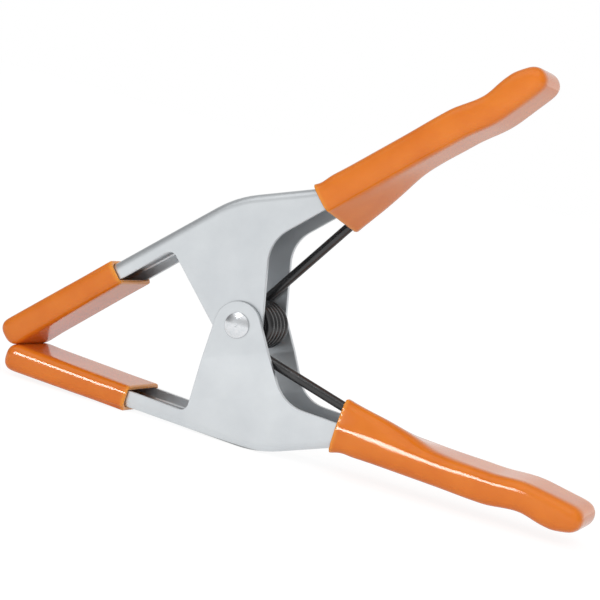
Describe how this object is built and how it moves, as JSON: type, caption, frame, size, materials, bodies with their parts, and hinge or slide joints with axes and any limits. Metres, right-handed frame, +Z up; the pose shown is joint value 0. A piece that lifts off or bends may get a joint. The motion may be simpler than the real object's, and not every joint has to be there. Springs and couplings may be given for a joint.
{
  "type": "spring clamp",
  "caption": "Hand spring clamp: nested stamped steel channel levers on a riveted pivot, closed by a torsion spring, with soft sleeves on jaws and handles. Squeezing the handles opens the jaws.",
  "frame": {"origin": "On the surface the clamp stands on, under the middle of its bounding box.", "axes": "+X points from the jaws towards the handles, +Y across the clamp along the rivet, +Z up. The clamp stands on the back of its lower lever and the lip of its lower jaw sleeve."},
  "size_m": [0.1624, 0.027, 0.1131],
  "materials": {
    "zinc_plated_steel": "bright zinc plating, faintly mottled along the bends",
    "bright_steel": "spun bright rivet head",
    "black_spring_wire": "black oxide, satin",
    "orange_vinyl": "glossy dipped vinyl"
  },
  "bodies": {
    "lower_half": {"lower_lever": "zinc_plated_steel", "pivot_rivet": "bright_steel", "torsion_spring": "black_spring_wire", "lower_handle_grip": "orange_vinyl", "lower_jaw_tip": "orange_vinyl"},
    "upper_half": {"upper_lever": "zinc_plated_steel", "upper_handle_grip": "orange_vinyl", "upper_jaw_tip": "orange_vinyl"}
  },
  "joints": [
    {"name": "jaw_pivot", "type": "hinge", "parent": "lower_half", "child": "upper_half", "pos_m": [-0.01742, 0, 0.03022], "axis": [0, 1, 0], "range_deg": [0, 63.2], "stiffness_Nm_per_rad": 3, "springref_deg": -57.3, "deforming": ["torsion_spring"]}
  ]
}
